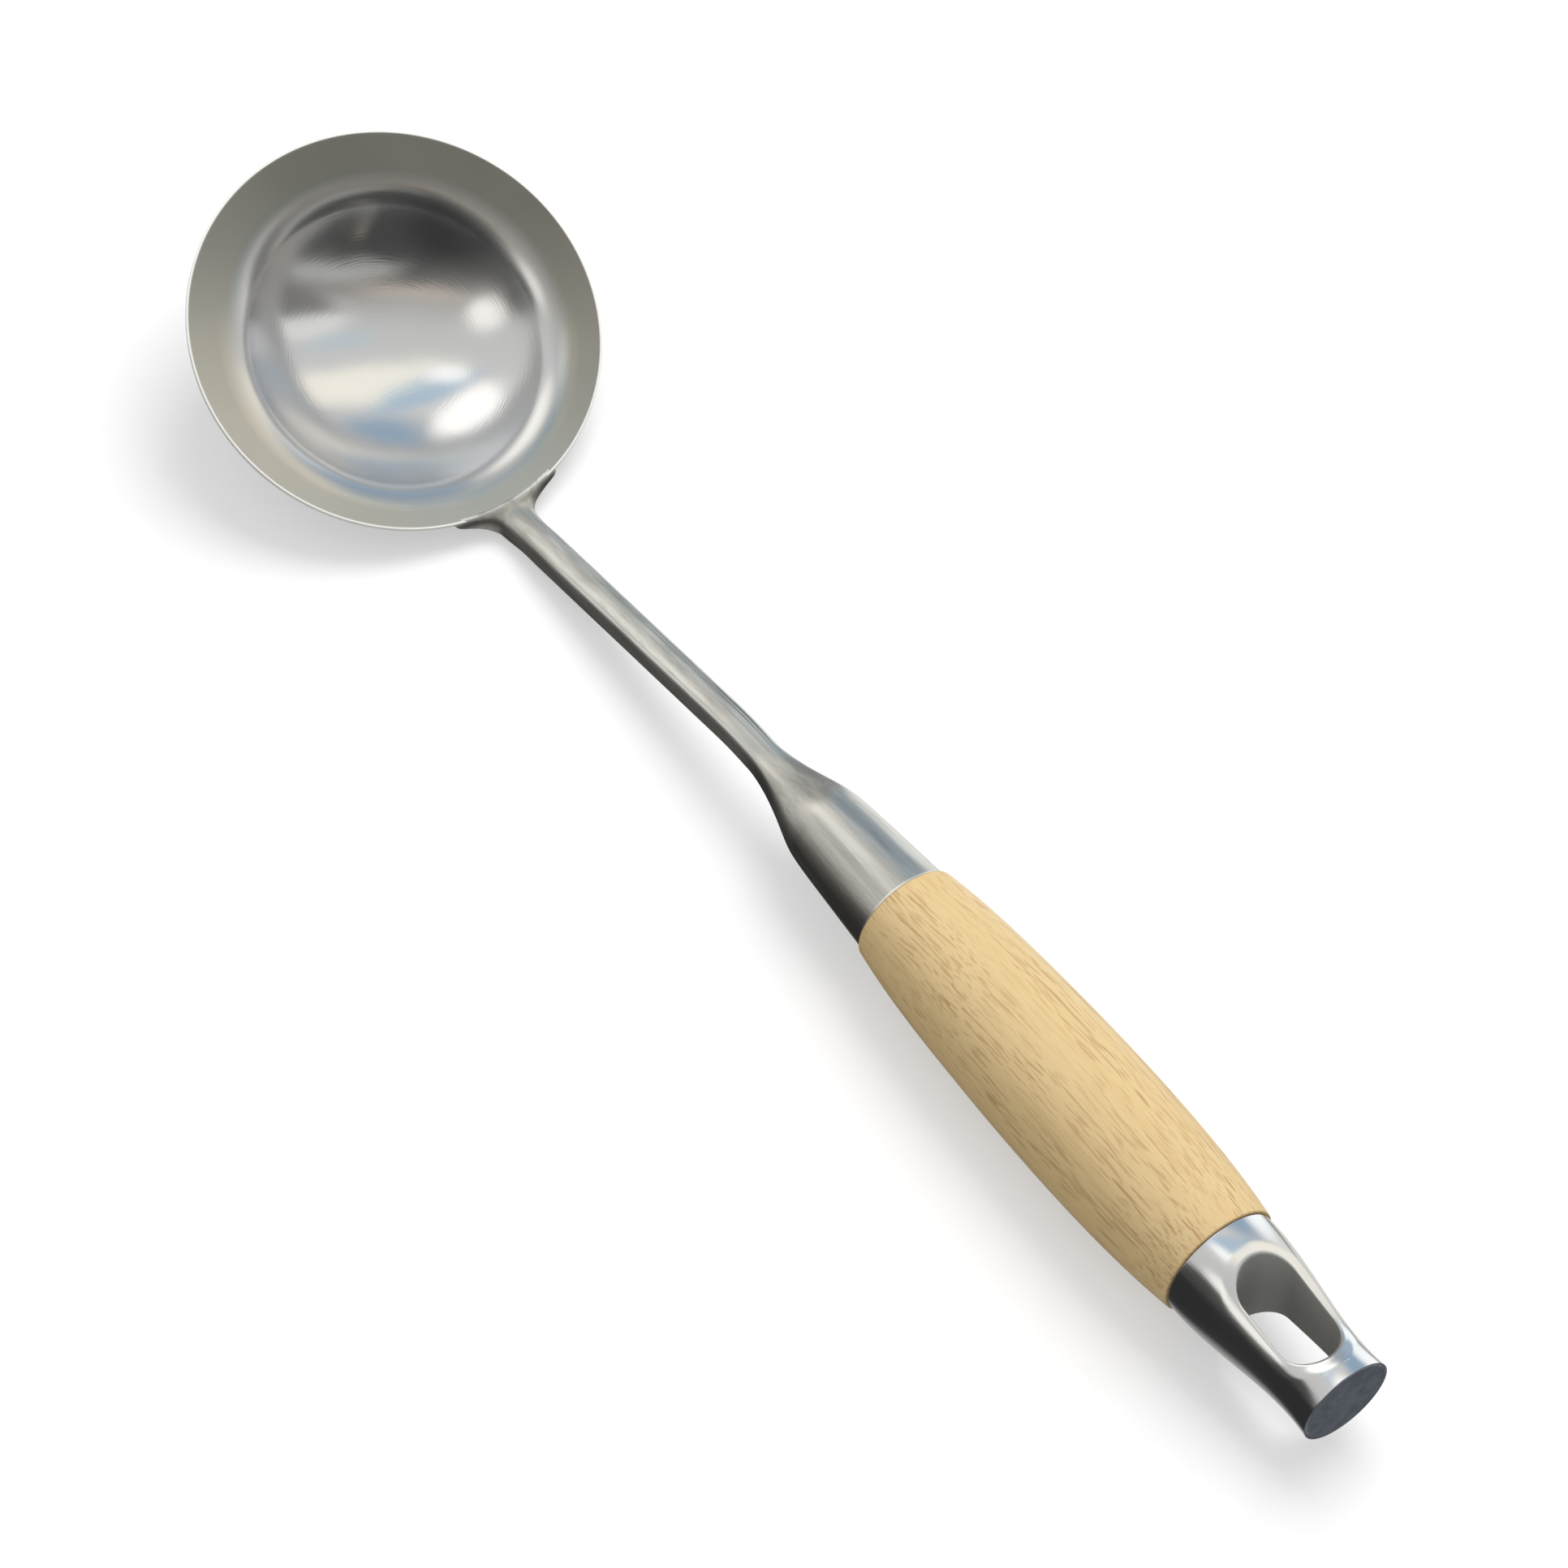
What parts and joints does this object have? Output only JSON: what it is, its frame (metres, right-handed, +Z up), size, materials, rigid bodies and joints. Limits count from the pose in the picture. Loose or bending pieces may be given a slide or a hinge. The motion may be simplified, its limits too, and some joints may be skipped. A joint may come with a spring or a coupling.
{
  "type": "wok ladle",
  "caption": "Round shallow steel wok ladle with a flat flange, rolled sheet stem and ferrule, turned wooden grip and a tapered steel tail cap with a hanging slot.",
  "frame": {"origin": "under the middle of the ladle's length, on the table it lies on, below the handle's axis", "axes": "+X from the bowl to the tail along the level handle, +Z up out of the table, XZ is the mirror plane"},
  "size_m": [0.3983, 0.1, 0.045],
  "materials": {
    "shell_steel": "satin",
    "cap_steel": "polished",
    "end_disc_steel": "polished",
    "core_steel": "as turned",
    "grip_wood": "satin"
  },
  "bodies": {
    "root": {"ladle_shell": "shell_steel", "wooden_grip": "grip_wood", "throat_plate": "core_steel", "core_rod": "core_steel", "cap_boss": "core_steel", "bridge_disc": "core_steel", "tail_cap": "cap_steel", "slot_liner": "cap_steel", "end_disc": "end_disc_steel"}
  },
  "joints": []
}
